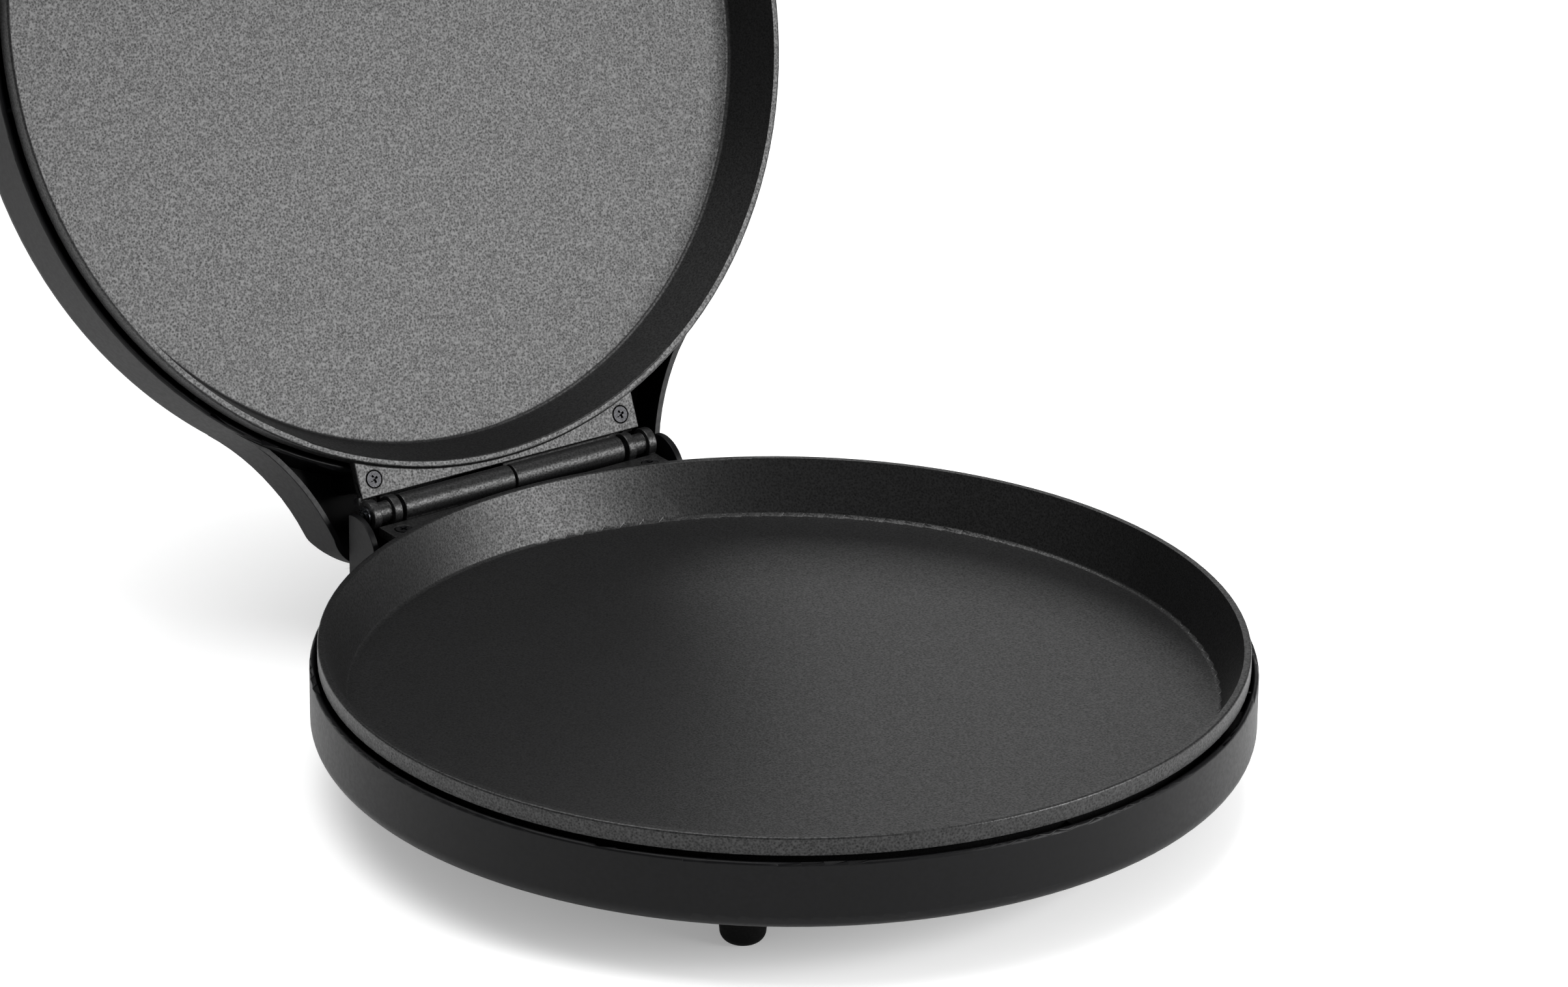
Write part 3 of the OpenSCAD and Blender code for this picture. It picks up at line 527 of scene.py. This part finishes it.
@dataclass
class FinishedPiece:
    """A piece whose form is the CAD node's, with the sharp edges round the hinge rounded."""

    node: str
    body: Body
    round_mm: float
    shop: Workshop
    hinge_reach_mm: float = 34.0
    sharp_deg: float = 38.0
    flat_deg: float = 0.3
    same_place_mm: float = 0.002
    segments: int = 2

    def build(self) -> bpy.types.Object:
        """Makes the piece and lets it stand for its node.

        Returns:
            The piece's object.
        """
        source = frame["nodes"][self.node].data
        bm = bmesh.new()
        bm.from_mesh(source)
        bmesh.ops.remove_doubles(bm, verts=bm.verts, dist=self.same_place_mm * MM)
        bmesh.ops.dissolve_degenerate(bm, dist=self.same_place_mm * MM, edges=bm.edges)
        bmesh.ops.dissolve_limit(
            bm, angle_limit=math.radians(self.flat_deg), verts=bm.verts, edges=bm.edges
        )
        self.round_edges(bm)
        mesh = bpy.data.meshes.new(self.node + "_finished")
        bm.to_mesh(mesh)
        bm.free()
        mesh.shade_smooth()
        SurfaceNormals(source).apply(mesh, self.sharp_deg)
        piece = bpy.data.objects.new(self.node + "_finished", mesh)
        bpy.context.scene.collection.objects.link(piece)
        slot = self.shop.slots[self.node]
        mesh.materials.clear()
        mesh.materials.append(self.shop.material(slot))
        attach(piece, self.body.value)
        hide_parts(self.node)
        log.info("%s: %d faces", piece.name, len(mesh.polygons))
        return piece

    def round_edges(self, bm: bmesh.types.BMesh) -> None:
        """Rounds the sharp edges round the hinge, where the cast and moulded corners show.

        Args:
            bm: Merged copy of the node's mesh.
        """
        limit = math.radians(self.sharp_deg)
        reach = self.hinge_reach_mm * MM
        hinge = Vector(frame["joints"][0]["pos_m"])

        def near(vert: bmesh.types.BMVert) -> bool:
            """Tells whether a corner lies near the hinge's axis."""
            return math.hypot(vert.co.y - hinge.y, vert.co.z - hinge.z) < reach

        sharp = [
            edge for edge in bm.edges
            if len(edge.link_faces) == 2 and edge.calc_face_angle() > limit
            and near(edge.verts[0]) and near(edge.verts[1])
        ]
        bmesh.ops.bevel(
            bm, geom=sharp, offset=self.round_mm * MM, offset_type="OFFSET", segments=self.segments,
            profile=0.5, affect="EDGES", clamp_overlap=False, material=-1, loop_slide=True,
        )


@dataclass
class BaseAssembly:
    """The standing half: casing, lower plate, hinge pin, feet and what lies inside."""

    shop: Workshop
    casing_round_mm: float = 0.3
    plate_round_mm: float = 0.5

    def build(self) -> None:
        """Dresses every node and builds the pieces that have rounded edges."""
        rounded = {"base_casing": self.casing_round_mm, "lower_plate": self.plate_round_mm}
        dress_body(Body.BASE, rounded, self.shop)


@dataclass
class LidAssembly:
    """The moving half: casing, upper plate, handle, lights and what lies inside."""

    shop: Workshop
    casing_round_mm: float = 0.3
    plate_round_mm: float = 0.5

    def build(self) -> None:
        """Dresses every node and builds the pieces that have rounded edges."""
        rounded = {"lid_casing": self.casing_round_mm, "upper_plate": self.plate_round_mm}
        dress_body(Body.LID, rounded, self.shop)


def dress_body(body: Body, rounded: dict[str, float], shop: Workshop) -> None:
    """Dresses a body's nodes and makes finished pieces for some of them.

    Args:
        body: Body whose nodes are dressed.
        rounded: Nodes that get a finished piece, with the radius of its edges in millimetres.
        shop: Source of the materials.
    """
    for node in frame["record"]["behaviour"]["bodies"][body.value]:
        shop.dress_node(node)
        log.info("%s: %s", node, shop.slots[node])
        if node in rounded:
            FinishedPiece(node, body, rounded[node], shop).build()


@dataclass(frozen=True)
class SoftLamp:
    """A soft rectangular lamp: where it hangs, what it faces and its size, in metres, and watts."""

    name: str
    place: tuple[float, float, float]
    aim: tuple[float, float, float]
    size: tuple[float, float]
    power_w: float

    def build(self) -> None:
        """Hangs the lamp."""
        data = bpy.data.lights.new(self.name, "AREA")
        data.shape = "RECTANGLE"
        data.size, data.size_y = self.size
        data.energy = self.power_w
        lamp = bpy.data.objects.new(self.name, data)
        lamp.location = self.place
        lamp.rotation_mode = "QUATERNION"
        facing = Vector(self.place) - Vector(self.aim)
        lamp.rotation_quaternion = facing.to_track_quat("Z", "Y")
        bpy.context.scene.collection.objects.link(lamp)


# The lid's plate and the rear wall mirror the first, and the lower floor mirrors the second.
LAMPS = (
    SoftLamp(
        "front_softbox", place=(1.08, -1.75, 0.8), aim=(0.0, 0.1, 0.2), size=(1.1, 1.0),
        power_w=49.0,
    ),
    SoftLamp(
        "rear_softbox", place=(1.73, 2.0, 1.33), aim=(0.1, -0.2, 0.035), size=(2.0, 1.2),
        power_w=7.2,
    ),
    SoftLamp(
        "top_softbox", place=(-0.3, 0.3, 2.4), aim=(0.0, 0.0, 0.0), size=(2.2, 2.2),
        power_w=52.0,
    ),
)


@dataclass
class Studio:
    """White floor, soft lamps and the camera at the photograph's place."""

    azimuth_deg: float = -36.453
    elevation_deg: float = 22.98
    roll_deg: float = 0.725
    distance_mm: float = 2400.0
    focal_px: float = 11063.9
    image_width_px: float = 2408.0
    image_height_px: float = 1516.0
    rim_centre_x_px: float = 1205.0
    rim_centre_y_px: float = 975.0
    sensor_mm: float = 36.0
    clip_near: float = 0.05
    clip_far: float = 60.0
    floor_half_mm: float = 4000.0
    white: str = "#ffffff"
    floor_paint: str = "#f4f4f4"
    world_shown: float = 1.0
    world_fill: float = 0.55
    world_mirrored: float = 0.24
    floor_shown: float = 0.28
    floor_mirrored: float = 0.14

    def rim_centre(self) -> Vector:
        """Gives the middle of the lower plate's rim.

        Returns:
            The middle of the casing's circle, at the height of the hinge's axis.
        """
        low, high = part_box("base_casing")
        hinge = frame["joints"][0]["pos_m"]
        casing_r = (high[0] - low[0]) / 2
        return Vector((0.0, low[1] + casing_r, hinge[2]))

    def build_camera(self) -> None:
        """Places the camera where the photograph was taken."""
        a = math.radians(self.azimuth_deg)
        e = math.radians(self.elevation_deg)
        r = math.radians(self.roll_deg)
        back = Vector((math.sin(a) * math.cos(e), -math.cos(a) * math.cos(e), math.sin(e)))
        level = Vector((math.cos(a), math.sin(a), 0.0))
        upright = back.cross(level)
        right = level * math.cos(r) + upright * math.sin(r)
        up = upright * math.cos(r) - level * math.sin(r)
        distance = self.distance_mm * MM
        across = (self.rim_centre_x_px - self.image_width_px / 2) / self.focal_px * distance
        upward = (self.image_height_px / 2 - self.rim_centre_y_px) / self.focal_px * distance
        data = bpy.data.cameras.new("photo_camera")
        data.sensor_width = self.sensor_mm
        data.lens = self.focal_px / self.image_width_px * self.sensor_mm
        data.clip_start = self.clip_near
        data.clip_end = self.clip_far
        camera = bpy.data.objects.new("photo_camera", data)
        turn = Matrix((right, up, back)).transposed()
        place = self.rim_centre() + back * distance - right * across - up * upward
        camera.matrix_world = Matrix.Translation(place) @ turn.to_4x4()
        bpy.context.scene.collection.objects.link(camera)
        bpy.context.scene.camera = camera

    def build_world(self) -> None:
        """Makes a surround that is white to the camera and dimmer as a light."""
        world = bpy.data.worlds.new("white_studio")
        world.use_nodes = True
        tree = world.node_tree
        tree.nodes.clear()
        path = add_node(tree, "ShaderNodeLightPath", {}, {})
        mirrored = add_node(
            tree, "ShaderNodeMapRange", {},
            {
                "Value": path.outputs["Is Glossy Ray"],
                "To Min": self.world_fill, "To Max": self.world_mirrored,
            },
        )
        strength = add_node(
            tree, "ShaderNodeMapRange", {},
            {
                "Value": path.outputs["Is Camera Ray"],
                "To Min": mirrored.outputs["Result"], "To Max": self.world_shown,
            },
        )
        sky = add_node(
            tree, "ShaderNodeBackground", {},
            {"Color": linear(self.white), "Strength": strength.outputs["Result"]},
        )
        add_node(tree, "ShaderNodeOutputWorld", {}, {"Surface": sky.outputs[0]})
        bpy.context.scene.world = world

    def build_floor(self) -> None:
        """Lays the white table that the object's shadow falls on."""
        bm = bmesh.new()
        bmesh.ops.create_grid(bm, x_segments=1, y_segments=1, size=self.floor_half_mm * MM)
        mesh = bpy.data.meshes.new("floor")
        bm.to_mesh(mesh)
        bm.free()
        material, tree = blank_material("white_table")
        path = add_node(tree, "ShaderNodeLightPath", {}, {})
        mirrored = add_node(
            tree, "ShaderNodeMath", {"operation": "ADD", "use_clamp": True},
            {0: path.outputs["Is Glossy Ray"], 1: path.outputs["Is Transmission Ray"]},
        )
        shown = add_node(
            tree, "ShaderNodeMath", {"operation": "MULTIPLY"},
            {0: path.outputs["Is Camera Ray"], 1: self.floor_shown},
        )
        lift = add_node(
            tree, "ShaderNodeMath", {"operation": "MULTIPLY_ADD"},
            {0: mirrored.outputs["Value"], 1: self.floor_mirrored, 2: shown.outputs["Value"]},
        )
        paint = add_node(tree, "ShaderNodeBsdfDiffuse", {}, {"Color": linear(self.floor_paint)})
        glow = add_node(
            tree, "ShaderNodeEmission", {},
            {"Color": linear(self.white), "Strength": lift.outputs["Value"]},
        )
        both = add_node(tree, "ShaderNodeAddShader", {}, {0: paint.outputs[0], 1: glow.outputs[0]})
        add_node(tree, "ShaderNodeOutputMaterial", {}, {"Surface": both.outputs[0]})
        mesh.materials.append(material)
        floor = bpy.data.objects.new("floor", mesh)
        bpy.context.scene.collection.objects.link(floor)

    def build(self) -> None:
        """Sets up the whole studio."""
        bpy.context.scene.view_settings.view_transform = "Standard"
        self.build_camera()
        self.build_world()
        self.build_floor()
        for lamp in LAMPS:
            lamp.build()


def main() -> None:
    """Builds the studio and both halves of the object."""
    logging.basicConfig(level=logging.INFO, format="%(message)s")
    Studio().build()
    shop = Workshop()
    BaseAssembly(shop).build()
    LidAssembly(shop).build()


if __name__ == "__main__":
    main()
